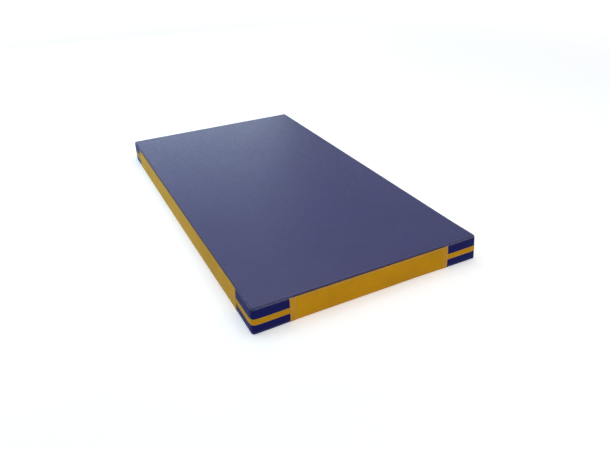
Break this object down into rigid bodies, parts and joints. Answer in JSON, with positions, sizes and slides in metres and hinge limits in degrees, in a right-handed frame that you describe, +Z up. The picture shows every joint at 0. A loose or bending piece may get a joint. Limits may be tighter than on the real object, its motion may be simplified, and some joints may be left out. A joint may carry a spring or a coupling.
{
  "type": "crash landing mat",
  "caption": "Rectangular foam landing mat in a sewn vinyl cover with reinforced two-tier corners, a zipped side with a sliding puller, and breather eyelets. It lies flat under a landing.",
  "frame": {"origin": "middle of the base face, where the mat lies on the floor", "axes": "+X across the mat towards the zipped wall, +Y along the mat towards the wall with the eyelets, +Z up through its thickness"},
  "size_m": [1.1065, 2.0012, 0.12],
  "materials": {
    "foam_firm": "matt closed-cell foam",
    "foam_soft": "open-cell foam",
    "foam_bonded": "bonded crumb foam",
    "blue_vinyl": "satin coated fabric",
    "corner_vinyl": "satin coated fabric",
    "yellow_vinyl": "satin coated fabric",
    "grip_vinyl": "matt coated fabric with raised grip dots",
    "zip_tape": "woven tape",
    "zip_coil": "nylon coil",
    "nickel": "nickel plated"
  },
  "bodies": {
    "mat": {"foam_landing_layer": "foam_firm", "foam_core": "foam_soft", "foam_base_layer": "foam_bonded", "cover_top": "blue_vinyl", "cover_base": "grip_vinyl", "side_front": "yellow_vinyl", "side_back": "yellow_vinyl", "side_left": "yellow_vinyl", "side_right_upper": "yellow_vinyl", "side_right_lower": "yellow_vinyl", "corner_upper_front_left": "corner_vinyl", "corner_upper_front_right": "corner_vinyl", "corner_upper_back_left": "corner_vinyl", "corner_upper_back_right": "corner_vinyl", "corner_lower_front_left": "corner_vinyl", "corner_lower_front_right": "corner_vinyl", "corner_lower_back_left": "corner_vinyl", "corner_lower_back_right": "corner_vinyl", "corner_stripe_front_left": "yellow_vinyl", "corner_stripe_front_right": "yellow_vinyl", "corner_stripe_back_left": "yellow_vinyl", "corner_stripe_back_right": "yellow_vinyl", "zip_tape_upper": "zip_tape", "zip_tape_lower": "zip_tape", "zip_chain_upper": "zip_coil", "zip_chain_lower": "zip_coil", "zip_top_stops": "nickel", "zip_bottom_stop": "nickel", "zip_end_patch_front": "yellow_vinyl", "zip_end_patch_back": "yellow_vinyl", "vent_eyelets": "nickel", "vent_washers": "nickel"},
    "zip_slider": {"zip_slider": "nickel"},
    "zip_pull_tab": {"zip_pull_tab": "nickel"}
  },
  "joints": [
    {"name": "zip_slide", "type": "slide", "parent": "mat", "child": "zip_slider", "axis": [0, 1, 0], "range_m": [0, 1.526]},
    {"name": "tab_swing", "type": "hinge", "parent": "zip_slider", "child": "zip_pull_tab", "pos_m": [0.554, -0.763, 0.06], "axis": [0, 0, -1], "range_deg": [0, 180]}
  ]
}
